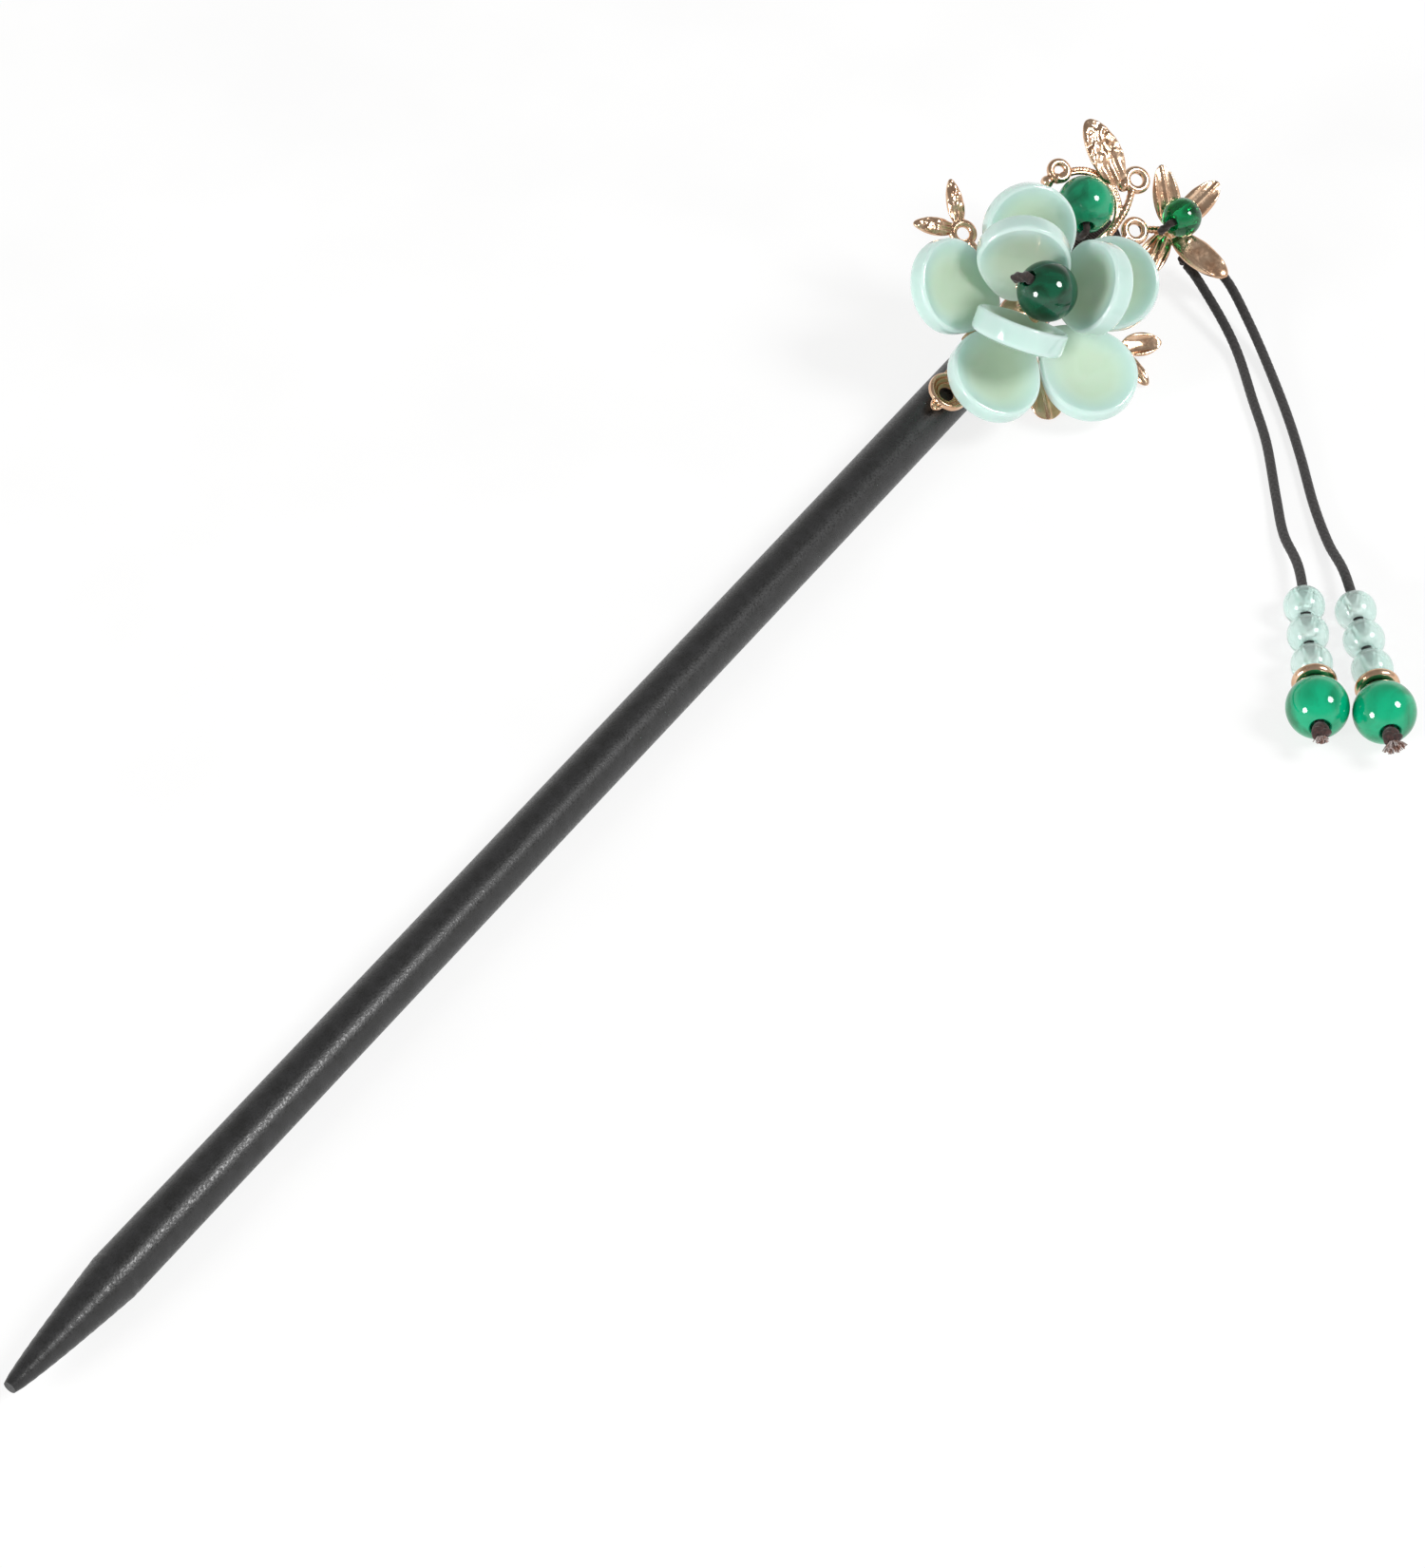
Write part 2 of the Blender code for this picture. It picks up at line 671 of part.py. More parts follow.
lacquer = material("black_lacquer", (0.022, 0.022, 0.022), 0.42)
gold = material("rose_gold", (0.83, 0.60, 0.42), 0.22, 1.0)
petal_glass = material("jade_glass", (0.50, 0.68, 0.58), 0.12)
agate_green = material("green_agate", (0.0, 0.33, 0.15), 0.08)
agate_dark = material("dark_agate", (0.0, 0.09, 0.035), 0.08)
glass_green = material("green_glass", (0.0, 0.26, 0.07), 0.05)
glass_clear = material("clear_glass", (0.60, 0.85, 0.76), 0.05, transmission=0.6)
thread_finish = material("dark_thread", (0.016, 0.010, 0.008), 0.8)
cord_finish = material("black_cord", (0.024, 0.021, 0.021), 0.8)
knot_finish = material("brown_knot", (0.035, 0.014, 0.010), 0.8)

table_frame = frame("table_frame", None, Matrix.Translation((HEAD_X, AXIS_Y, 0)))
head_frame = frame("head_frame", None, Matrix.Translation((HEAD_X, AXIS_Y, AXIS_Z)))
saddle_frame = frame("saddle_frame", head_frame, turn("X", SADDLE_ROLL))
flower_matrix = Matrix.Translation((-FLOWER_FROM_HEAD, 0, 0))
flower_matrix @= turn("X", FLOWER_ROLL) @ turn("Y", -FLOWER_LEAN) @ turn("Z", FLOWER_TWIST)
flower_frame = frame("flower_frame", head_frame, flower_matrix)

stick()
lashing()
flower_mount()
left_sprig()
top_branch()
right_cluster()
lower_sprigs()
petals()
claw_cap()
set_beads()
tassels()
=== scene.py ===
"""Looks of the hair pin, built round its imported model.

Places are in metres in the model's frame, or in millimetres where a list says so. The flower, its
sprigs and the three set beads are placed in the flower's own frame, which leans over the stick's head.
"""

import math

import bmesh
import bpy
from mathutils import Matrix, Vector, noise


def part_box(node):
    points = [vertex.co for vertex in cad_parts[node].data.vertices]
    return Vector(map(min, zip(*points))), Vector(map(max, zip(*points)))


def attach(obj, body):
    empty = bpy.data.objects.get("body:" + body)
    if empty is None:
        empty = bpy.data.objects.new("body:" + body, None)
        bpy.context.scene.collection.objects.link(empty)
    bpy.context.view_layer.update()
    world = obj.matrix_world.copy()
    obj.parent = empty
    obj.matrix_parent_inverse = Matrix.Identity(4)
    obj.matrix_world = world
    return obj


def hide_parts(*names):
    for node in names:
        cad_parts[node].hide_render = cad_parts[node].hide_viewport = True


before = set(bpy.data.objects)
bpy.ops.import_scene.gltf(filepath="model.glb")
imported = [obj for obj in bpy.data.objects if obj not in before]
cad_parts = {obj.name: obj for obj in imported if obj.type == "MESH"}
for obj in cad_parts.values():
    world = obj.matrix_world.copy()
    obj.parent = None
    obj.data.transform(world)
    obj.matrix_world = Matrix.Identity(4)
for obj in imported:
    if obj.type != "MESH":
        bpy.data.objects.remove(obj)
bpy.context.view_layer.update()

MM = 0.001
GAP = 0.00015

# Camera, from the head end of the stick
CAMERA_FROM_HEAD = (-0.32989, -0.17386, 0.31736)
CAMERA_TURN = -56.09
CAMERA_TILT = 43.0
CAMERA_LENS = 108.34
SENSOR = 36.0

# Lamps: degrees to the right of the camera and above it, then width, distance and power
LAMPS = {
    "key_lamp": (44.0, 21.0, 0.21, 0.6, 2.3),
    "fill_lamp": (-51.0, -13.0, 0.19, 0.6, 2.1),
}

# Stick
POINT_LENGTH = 0.0135
POINT_DIAMETER = 0.0012
POINT_CURVE = 0.75
BODY_DIAMETER = 0.0047
GROOVE_DEPTH = 0.00055
GROOVE_LENGTH = 0.0088
HEAD_RIM = 0.0006
STRAP_THICKNESS = 0.0007
STRAP_TAIL = 0.0030
EYELET_FROM_HEAD = 0.0320
EYELET_RADIUS = 0.0021
EYELET_HOLE = 0.00075
SADDLE_ROLL = 26.0
LASHING_OFFSET = 0.00075
LASHING_RADIUS = 0.00305
LASHING_THREAD = 0.00036

# Flower
FLOWER_FROM_HEAD = 0.0182
FLOWER_TURNS = (("X", 31.7), ("Y", -17.0), ("Z", -46.9))
PETAL_RADIUS = 0.0047
PETAL_ROOT_NARROW = 0.32
PETAL_ROOT_THIN = 0.35
OUTER_RIM = 0.0020
INNER_RIM = 0.0024
OUTER_ROOT_STRETCH = 1.32
INNER_ROOT_STRETCH = 0.95
OUTER_PETALS = [
    (94, 0.0045, 0.0096, 26),
    (170, 0.0055, 0.0096, 27),
    (239, 0.0052, 0.0094, 16),
    (312, 0.0053, 0.0092, 15),
    (21, 0.0052, 0.0096, 22),
]
INNER_PETALS = [
    (77, 55, 0.0004, -0.0023, -0.0004),
    (256, 62, 0.0003, 0.0013, 0.0002),
    (359, 65, 0.0014, -0.0013, 0.0006),
]
SEAT_TOP = 0.0051
SEAT_BOTTOM = 0.0045
SEAT_RADIUS = 0.0026
BOSS_RADIUS = 0.0011

# Beads and cords
BEAD_LARGE = 0.0060
BEAD_TOP = 0.0058
BEAD_SMALL = 0.0040
BORE_LARGE = 0.0018
BORE_SMALL = 0.0016
BORE_SETTING = 0.0014
CORD = 0.0010
LIGHT_BEADS = 3
SPACER_DIAMETER = 0.0043
SPACER_THICKNESS = 0.0010
SPACER_NEST = 0.0003
KNOT_DIAMETER = 0.0018
TIE_DIAMETER = 0.0013
STRAIGHT_RUN = 0.0050
CENTRE_BEAD = ((-0.5, 0.25, 13.8), (-0.82, 0.25, 0.51))
TOP_BEAD = ((6.84, 12.43, 4.5), (-0.085, -0.94, 0.32))
SIDE_BEAD = ((17.0, 11.8, 4.7), (-0.76, -0.51, 0.39))

# The two drop beads lie side by side
LEFT_DROP = Vector((-47.3, -51.35))
DROP_TO_DROP = (BEAD_LARGE + 0.00017) / MM
RIGHT_DROP = LEFT_DROP + DROP_TO_DROP * Vector((math.cos(math.radians(-62)), math.sin(math.radians(-62))))
TIE_ABOVE_AXIS = 0.85

# Each tassel in millimetres from the head end, with Z from the plane that the pin lies on
TASSELS = {
    "left": {
        "tie": (0.2, -9.5),
        "free": [
            (-1.2, -12.1, 2.9),
            (-4.1, -16.7, 1.8),
            (-6.7, -20.1, 0.85),
            (-11.4, -24.4, 0.6),
            (-16.2, -28.7, 0.55),
            (-22.6, -33.4, 0.55),
            (-26.9, -36.6, 0.85),
        ],
        "drop": LEFT_DROP,
        "heading": 213.6,
        "fray": 26,
        "fray_length": 0.7,
    },
    "right": {
        "tie": (2.0, -10.4),
        "free": [
            (0.25, -14.7, 2.9),
            (-2.7, -18.9, 1.8),
            (-6.3, -23.2, 0.85),
            (-11.3, -28.2, 0.6),
            (-16.0, -32.4, 0.55),
            (-21.4, -36.9, 0.55),
            (-25.6, -40.8, 0.85),
        ],
        "drop": RIGHT_DROP,
        "heading": 218.9,
        "fray": 60,
        "fray_length": 1.3,
    },
}

stick_low, stick_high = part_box("stick")
STICK_LENGTH = stick_high.x - stick_low.x
HEAD_DIAMETER = stick_high.z - stick_low.z
HEAD = Vector((stick_high.x, (stick_low.y + stick_high.y) / 2, 0))
AXIS = HEAD + Vector((0, 0, HEAD_DIAMETER / 2))


def mm(*values):
    return Vector(values) * MM


def tie_place(tassel):
    return AXIS + mm(*tassel["tie"], TIE_ABOVE_AXIS)


def turn(axis, degrees):
    return Matrix.Rotation(math.radians(degrees), 4, axis)


def aim(place, direction):
    """A matrix at place with Z along direction."""
    return Matrix.Translation(place) @ Vector(direction).to_track_quat("Z", "Y").to_matrix().to_4x4()


def along(start, end):
    """A matrix at start with Y towards end and Z as near the frame's Z as it can be."""
    y = (end - start).normalized()
    x = y.cross(Vector((0, 0, 1))).normalized()
    return Matrix.Translation(start) @ Matrix((x, y, x.cross(y))).transposed().to_4x4()


SADDLE = Matrix.Translation(AXIS) @ turn("X", SADDLE_ROLL)
FLOWER = Matrix.Translation(AXIS - Vector((FLOWER_FROM_HEAD, 0, 0)))
for turn_axis, turn_angle in FLOWER_TURNS:
    FLOWER = FLOWER @ turn(turn_axis, turn_angle)


# Meshes


def finished(shape):
    """The bmesh as a mesh with its faces turned outwards."""
    bmesh.ops.recalc_face_normals(shape, faces=shape.faces)
    made = bpy.data.meshes.new("shape")
    shape.to_mesh(made)
    shape.free()
    return made


def lathe(profile, steps=64, closed=False):
    """A solid turned about Z. The profile's (radius, z) points run down its outer side."""
    shape = bmesh.new()
    angles = [2 * math.pi * k / steps for k in range(steps)]
    rows = []
    for radius, z in profile:
        if radius < 1e-9:
            rows.append([shape.verts.new((0, 0, z))] * steps)
        else:
            rows.append([shape.verts.new((radius * math.cos(a), radius * math.sin(a), z)) for a in angles])
    pairs = list(zip(rows, rows[1:]))
    if closed:
        pairs.append((rows[-1], rows[0]))
    for upper, lower in pairs:
        for k in range(steps):
            corners = dict.fromkeys((upper[k - 1], lower[k - 1], lower[k], upper[k]))
            shape.faces.new(corners)
    return finished(shape)


def smooth_route(points, spacing):
    """Points about a spacing apart on a smooth curve through the given points."""
    ends = [2 * points[0] - points[1], *points, 2 * points[-1] - points[-2]]
    route = []
    for k in range(1, len(ends) - 2):
        a, b, c, d = ends[k - 1 : k + 3]
        steps = max(1, round((c - b).length / spacing))
        for step in range(steps):
            t = step / steps
            bend = (2 * a - 5 * b + 4 * c - d) * t**2 + (3 * b - a - 3 * c + d) * t**3
            route.append((2 * b + (c - a) * t + bend) / 2)
    return route + [points[-1]]


def frames_along(path):
    """(point, side, up) at each point of the path, with no twist between them."""
    found = []
    up = None
    for k, point in enumerate(path):
        ahead = (path[min(k + 1, len(path) - 1)] - path[max(k - 1, 0)]).normalized()
        up = ahead.orthogonal() if up is None else up - ahead * up.dot(ahead)
        up.normalize()
        found.append((point, ahead.cross(up), up))
    return found


def sweep(path, radius, sides=12):
    """A tube along the path with closed ends. radius(distance, angle) gives its radius there."""
    shape = bmesh.new()
    rows = []
    distance = 0.0
    for k, (point, side, up) in enumerate(frames_along(path)):
        distance += (point - path[k - 1]).length if k else 0.0
        angles = [2 * math.pi * n / sides for n in range(sides)]
        rows.append(
            [
                shape.verts.new(point + (side * math.cos(a) + up * math.sin(a)) * radius(distance, a))
                for a in angles
            ]
        )
    for near, far in zip(rows, rows[1:]):
        for n in range(sides):
            shape.faces.new((near[n - 1], near[n], far[n], far[n - 1]))
    shape.faces.new(rows[0])
    shape.faces.new(rows[-1])
    return finished(shape)


def tube(path, radius, sides=12):
    return sweep(path, lambda distance, angle: radius, sides)


def helix(path, radius, turns, steps=20):
    """Points that wind round the path at the radius."""
    count = turns * steps
    dense = smooth_route(path, sum((b - a).length for a, b in zip(path, path[1:])) / count)
    wound = []
    for k, (point, side, up) in enumerate(frames_along(dense)):
        angle = 2 * math.pi * k / steps
        wound.append(point + (side * math.cos(angle) + up * math.sin(angle)) * radius)
    return wound


def ball(radius, sides=24):
    shape = bmesh.new()
    bmesh.ops.create_uvsphere(shape, u_segments=sides, v_segments=sides // 2 + 2, radius=radius)
    return finished(shape)


def joined(shapes):
    """One mesh from (mesh, matrix) shapes."""
    whole = bmesh.new()
    for mesh, matrix in shapes:
        mesh.transform(matrix)
        whole.from_mesh(mesh)
        bpy.data.meshes.remove(mesh)
    made = bpy.data.meshes.new("joined")
    whole.to_mesh(made)
    whole.free()
    return made


def fused(shapes, voxel, smoothing=2):
    """One cast skin over (mesh, matrix) shapes that run into each other."""
    source = bpy.data.objects.new("fused", joined(shapes))
    bpy.context.scene.collection.objects.link(source)
    remesh = source.modifiers.new("skin", "REMESH")
    remesh.mode = "VOXEL"
    remesh.voxel_size = voxel
    smooth = source.modifiers.new("smooth", "SMOOTH")
    smooth.factor = 0.5
    smooth.iterations = smoothing
    bpy.context.view_layer.update()
    graph = bpy.context.evaluated_depsgraph_get()
    made = bpy.data.meshes.new_from_object(source.evaluated_get(graph))
    bpy.data.objects.remove(source)
    return made


def weathered(mesh, size, height):
    """Moves the skin in and out a little, as hand finishing does."""
    moves = [v.normal * (height * noise.noise(v.co / size)) for v in mesh.vertices]
    for vertex, move in zip(mesh.vertices, moves):
        vertex.co += move
    return mesh


# Materials


def material(name, **sockets):
    made = bpy.data.materials.new(name)
    made.use_nodes = True
    shader = made.node_tree.nodes["Principled BSDF"]
    for socket, value in sockets.items():
        shader.inputs[socket.replace("_", " ")].default_value = value
    return made


def shader_of(made):
    return made.node_tree.nodes["Principled BSDF"]


def place_noise(made, scale, detail=3.0, distortion=0.0):
    """Noise that is fixed to the piece. scale is how many features fit in a metre."""
    nodes, links = made.node_tree.nodes, made.node_tree.links
    place = nodes.new("ShaderNodeTexCoord")
    texture = nodes.new("ShaderNodeTexNoise")
    texture.inputs["Scale"].default_value = scale
    texture.inputs["Detail"].default_value = detail
    texture.inputs["Distortion"].default_value = distortion
    links.new(place.outputs["Object"], texture.inputs["Vector"])
    return texture.outputs["Fac"]


def ramp(made, value, stops, target):
    """Colours or greys along a value, into the shader's target socket."""
    nodes, links = made.node_tree.nodes, made.node_tree.links
    colours = nodes.new("ShaderNodeValToRGB")
    elements = colours.color_ramp.elements
    while len(elements) < len(stops):
        elements.new(0.5)
    for element, (position, colour) in zip(elements, stops):
        element.position = position
        element.color = (*colour, 1) if isinstance(colour, tuple) else (colour, colour, colour, 1)
    links.new(value, colours.inputs["Fac"])
    if target:
        links.new(colours.outputs["Color"], shader_of(made).inputs[target])
    return colours.outputs["Color"]


def add_bump(made, height, strength, distance):
    nodes, links = made.node_tree.nodes, made.node_tree.links
    bump = nodes.new("ShaderNodeBump")
    bump.inputs["Strength"].default_value = strength
    bump.inputs["Distance"].default_value = distance
    links.new(height, bump.inputs["Height"])
    links.new(bump.outputs["Normal"], shader_of(made).inputs["Normal"])


def lacquer():
    made = material("black_lacquer", Roughness=0.36, Specular_IOR_Level=0.45)
    ramp(made, place_noise(made, 900), [(0.3, (0.013, 0.013, 0.013)), (0.7, (0.024, 0.024, 0.025))], "Base Color")
    ramp(made, place_noise(made, 5200, 2.0), [(0.35, 0.24), (0.65, 0.5)], "Roughness")
    add_bump(made, place_noise(made, 4200, 2.0), 0.5, 0.00004)
    return made


def rose_gold():
    made = material("rose_gold", Metallic=1.0)
    colours = [(0.35, (0.62, 0.37, 0.23)), (0.65, (0.80, 0.57, 0.40))]
    ramp(made, place_noise(made, 700), colours, "Base Color")
    ramp(made, place_noise(made, 2500), [(0.3, 0.14), (0.75, 0.28)], "Roughness")
    add_bump(made, place_noise(made, 3500, 2.0), 0.25, 0.00005)
    return made


def petal_glass():
    made = material("jade_glass", Roughness=0.1, IOR=1.5, Subsurface_Weight=0.85, Coat_Weight=0.4)
    shader = shader_of(made)
    shader.inputs["Subsurface Radius"].default_value = (0.8, 1.0, 0.9)
    shader.inputs["Subsurface Scale"].default_value = 0.0024
    nodes, links = made.node_tree.nodes, made.node_tree.links
    rim = nodes.new("ShaderNodeAttribute")
    rim.attribute_name = "rim"
    drift = nodes.new("ShaderNodeMath")
    drift.operation = "MULTIPLY_ADD"
    drift.inputs[1].default_value = 0.35
    links.new(place_noise(made, 160, 2.0), drift.inputs[0])
    links.new(rim.outputs["Fac"], drift.inputs[2])
    stops = [(0.1, (0.55, 0.66, 0.53)), (0.5, (0.56, 0.69, 0.59)), (1.1, (0.51, 0.66, 0.62))]
    ramp(made, drift.outputs[0], stops, "Base Color")
    return made


def agate(name, light, dark, scale, transmission):
    made = material(name, Roughness=0.04, IOR=1.54, Transmission_Weight=transmission)
    bands = place_noise(made, scale, 4.0, 1.6)
    ramp(made, bands, [(0.36, dark), (0.62, light)], "Base Color")
    return made


def clear_glass(name, light, dark, roughness, transmission):
    made = material(name, Roughness=roughness, IOR=1.5, Transmission_Weight=transmission)
    ramp(made, place_noise(made, 300, 2.0), [(0.35, dark), (0.65, light)], "Base Color")
    return made


def fibre(name, light, dark, scale, roughness=0.85):
    made = material(name, Roughness=roughness, Sheen_Weight=0.25)
    texture = place_noise(made, scale, 4.0)
    ramp(made, texture, [(0.35, dark), (0.65, light)], "Base Color")
    add_bump(made, texture, 0.6, 0.00006)
    return made


GOLD = rose_gold()
LACQUER = lacquer()
PETAL = petal_glass()
DROP_GREEN = agate("green_agate", (0.0, 0.50, 0.24), (0.0, 0.22, 0.09), 200, 0.3)
TOP_GREEN = agate("banded_agate", (0.01, 0.42, 0.20), (0.0, 0.20, 0.09), 300, 0.3)
CENTRE_GREEN = agate("dark_agate", (0.0, 0.10, 0.045), (0.0, 0.04, 0.014), 380, 0.25)
SIDE_GREEN = clear_glass("green_glass", (0.01, 0.50, 0.16), (0.0, 0.22, 0.07), 0.03, 0.85)
LIGHT_GLASS = clear_glass("clear_glass", (0.84, 0.99, 0.945), (0.74, 0.955, 0.895), 0.0, 0.72)
THREAD_BROWN = fibre("dark_thread", (0.035, 0.020, 0.017), (0.012, 0.007, 0.006), 3000)
CORD_BLACK = fibre("black_cord", (0.034, 0.030, 0.030), (0.016, 0.014, 0.014), 4500)
KNOT_BROWN = fibre("brown_knot", (0.060, 0.022, 0.018), (0.016, 0.007, 0.006), 3000)
FRAY = fibre("frayed_ends", (0.42, 0.37, 0.36), (0.22, 0.09, 0.055), 1400)


# Pieces


def piece(name, mesh, finish, body, nodes=(), matrix=None, crease=40):
    """A finished piece that rides on a body and stands for the named CAD nodes."""
    mesh.transform(matrix or Matrix())
    mesh.shade_smooth()
    mesh.set_sharp_from_angle(angle=math.radians(crease))
    mesh.materials.clear()
    mesh.materials.append(finish)
    made = bpy.data.objects.new(name, mesh)
    bpy.context.scene.collection.objects.link(made)
    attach(made, body)
    if nodes:
        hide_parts(*nodes)
    return made


# Camera, floor and light


def camera():
    data = bpy.data.cameras.new("camera")
    data.sensor_fit = "VERTICAL"
    data.sensor_height = SENSOR
    data.lens = CAMERA_LENS
    data.clip_start = 0.01
    data.clip_end = 20
    made = bpy.data.objects.new("camera", data)
    bpy.context.scene.collection.objects.link(made)
    made.matrix_world = Matrix.Translation(HEAD + Vector(CAMERA_FROM_HEAD)) @ turn("Z", CAMERA_TURN) @ turn("X", CAMERA_TILT)
    bpy.context.scene.camera = made
    return made


def lamps(view):
    axes = view.matrix_world.to_3x3()
    middle = HEAD + Vector((-0.04, -0.02, 0.005))
    for name, (right, up, width, distance, power) in LAMPS.items():
        a, b = math.radians(right), math.radians(up)
        direction = axes @ Vector((math.sin(a) * math.cos(b), math.sin(b), math.cos(a) * math.cos(b)))
        data = bpy.data.lights.new(name, "AREA")
        data.shape = "DISK"
        data.size = width
        data.energy = power
        lamp = bpy.data.objects.new(name, data)
        bpy.context.scene.collection.objects.link(lamp)
        lamp.matrix_world = aim(middle + direction * distance, direction)


def room():
    """A pale floor, and a world that is bright at the horizon and dim overhead."""
    floor_shape = bmesh.new()
    bmesh.ops.create_grid(floor_shape, x_segments=8, y_segments=8, size=2.5)
    floor = bpy.data.objects.new("floor", finished(floor_shape))
    floor.location.z = -0.00005
    bpy.context.scene.collection.objects.link(floor)
    paper = material("paper", Roughness=0.9, Specular_IOR_Level=0.1, Emission_Strength=0.80)
    ramp(paper, place_noise(paper, 40), [(0.3, 0.19), (0.7, 0.22)], "Base Color")
    shader_of(paper).inputs["Emission Color"].default_value = (1, 1, 1, 1)
    floor.data.materials.append(paper)

    world = bpy.data.worlds.new("studio")
    world.use_nodes = True
    bpy.context.scene.world = world
    nodes, links = world.node_tree.nodes, world.node_tree.links
    place = nodes.new("ShaderNodeTexCoord")
    split = nodes.new("ShaderNodeSeparateXYZ")
    shades = nodes.new("ShaderNodeValToRGB")
    links.new(place.outputs["Generated"], split.inputs[0])
    links.new(split.outputs["Z"], shades.inputs["Fac"])
    stops = ((0.0, 1.25), (0.15, 1.05), (0.4, 0.42), (0.85, 0.3))
    elements = shades.color_ramp.elements
    while len(elements) < len(stops):
        elements.new(0.5)
    for element, (position, grey) in zip(elements, stops):
        element.position = position
        element.color = (grey, grey * 0.99, grey * 0.97, 1)
    links.new(shades.outputs["Color"], nodes["Background"].inputs["Color"])


# Cords


def stack_line(tassel):
    """(drop bead's centre, direction from the tie's side to the knot)."""
    heading = math.radians(tassel["heading"])
    slope = math.asin((BEAD_LARGE - BEAD_SMALL) / 2 / drop_distance(LIGHT_BEADS))
    direction = Vector((math.cos(heading), math.sin(heading), 0)) * math.cos(slope)
    direction.z = math.sin(slope)
    x, y = tassel["drop"]
    return HEAD + Vector((x * MM, y * MM, BEAD_LARGE / 2)), direction


def drop_distance(count):
    """From the drop bead's centre back to the centre of the count-th light bead above the spacer."""
    first = BEAD_LARGE / 2 + SPACER_THICKNESS + BEAD_SMALL / 2 + 2 * GAP - SPACER_NEST
    return first + (count - 1) * (BEAD_SMALL + GAP)


def cord_route(tassel):
    drop, direction = stack_line(tassel)
    tie = tie_place(tassel)
    free = [HEAD + mm(*point) for point in tassel["free"]]
    start = tie + (free[0] - tie).normalized() * (TIE_DIAMETER / 2 + GAP)
    ahead = drop - direction * (drop_distance(LIGHT_BEADS) + STRAIGHT_RUN)
    end = drop + direction * (BEAD_LARGE / 2 - 0.0002)
    return [start, *free, ahead, (ahead + drop) / 2, drop, end]


def braid(distance, angle):
    """Four strands each way over a core."""
    pitch = 2 * math.pi / 0.00085
    one_way = math.cos(4 * angle + distance * pitch)
    other_way = math.cos(4 * angle - distance * pitch)
    return CORD / 2 * (0.93 + 0.07 * max(one_way, other_way))


def braided_cord(side, tassel):
    path = smooth_route(cord_route(tassel), 0.00014)
    made = piece(
        f"cord_braid_{side}", sweep(path, braid, 20), CORD_BLACK, f"tassel_{side}", [f"cord_{side}"]
    )
    line = smooth_route(cord_route(tassel), 0.0024)
    return made


def trefoil(size, wire, flat=0.8):
    """A knotted strand about a size across."""
    scale = (size / 2 - wire) / 3
    path = []
    for k in range(73):
        t = 2 * math.pi * k / 72
        across = math.sin(t) + 2 * math.sin(2 * t)
        up = math.cos(t) - 2 * math.cos(2 * t)
        path.append(Vector((across, up, -math.sin(3 * t) * flat)) * scale)
    twist = lambda distance, angle: wire * (0.9 + 0.1 * math.cos(3 * angle + distance * 9000))
    return sweep(path, twist, 16)


def fray(count, length, spread, seed):
    """Loose fibre ends that stand out along +Z and part as they go."""
    shapes = []
    for k in range(count):
        spin = 2.39996 * k
        share = math.sqrt((k + 0.5) / count)
        wander = noise.noise_vector(Vector((seed + k * 1.7, k * 0.37, seed))) * 0.6
        root = Vector((math.cos(spin), math.sin(spin), 0)) * share * 0.42
        lean = Vector((math.cos(spin), math.sin(spin), 0)) * share * spread + Vector((0, 0, 1))
        tip = root + (lean + wander).normalized() * length * (0.75 + 0.35 * noise.noise(Vector((k, seed, 0))))
        bow = (root + tip) / 2 + wander * 0.3
        path = smooth_route([root * MM, bow * MM, tip * MM], length * 0.16 * MM)
        shapes.append((tube(path, 0.00006, 5), Matrix()))
    return joined(shapes)


def tassel_knots(side, tassel):
    drop, direction = stack_line(tassel)
    knot = drop + direction * (BEAD_LARGE / 2 + GAP + 0.35 * KNOT_DIAMETER)
    made = piece(
        f"knotted_end_{side}",
        fused(
            [
                (trefoil(1.15 * KNOT_DIAMETER, 0.36 * MM), Matrix()),
                (ball(0.82 * MM), Matrix.Translation((0, 0, -0.55 * MM))),
            ],
            0.04 * MM,
            1,
        ),
        KNOT_BROWN,
        f"tassel_{side}",
        [f"end_knot_{side}"],
        aim(knot, direction),
    )
    down = (direction + Vector((0.25, 0.1, -0.35))).normalized()
    piece(
        f"frayed_end_{side}",
        fray(tassel["fray"], tassel["fray_length"], 0.9, 3.0 if side == "left" else 8.0),
        FRAY,
        f"tassel_{side}",
        (),
        aim(knot + direction * 0.35 * MM, down),
    )
    tie = tie_place(tassel)
    coils = [(trefoil(TIE_DIAMETER, 0.24 * MM, 1.2), turn("X", 70)), (ball(0.42 * MM), Matrix())]
    piece(
        f"wound_tie_{side}",
        fused(coils, 0.04 * MM, 1),
        THREAD_BROWN,
        f"tassel_{side}",
        [f"tie_knot_{side}"],
        Matrix.Translation(tie),
    )
    return made


# Beads


def bead_mesh(diameter, bore, arcs=30, steps=56):
    """A ball with a bore whose mouths are rounded over."""
    radius = diameter / 2
    soft = 0.06 * diameter
    mouth = math.asin((bore + soft) / diameter)
    angles = [mouth + (math.pi - 2 * mouth) * k / arcs for k in range(arcs + 1)]
    profile = [(radius * math.sin(a), radius * math.cos(a)) for a in angles]
    depth = radius * math.cos(mouth)
    inner = [(bore / 2 + soft * 0.12, depth - soft * 0.22), (bore / 2, depth - soft * 0.7)]
    lower = [(r, -z) for r, z in inner]
    return lathe(profile + lower + list(reversed(inner)), steps, True)


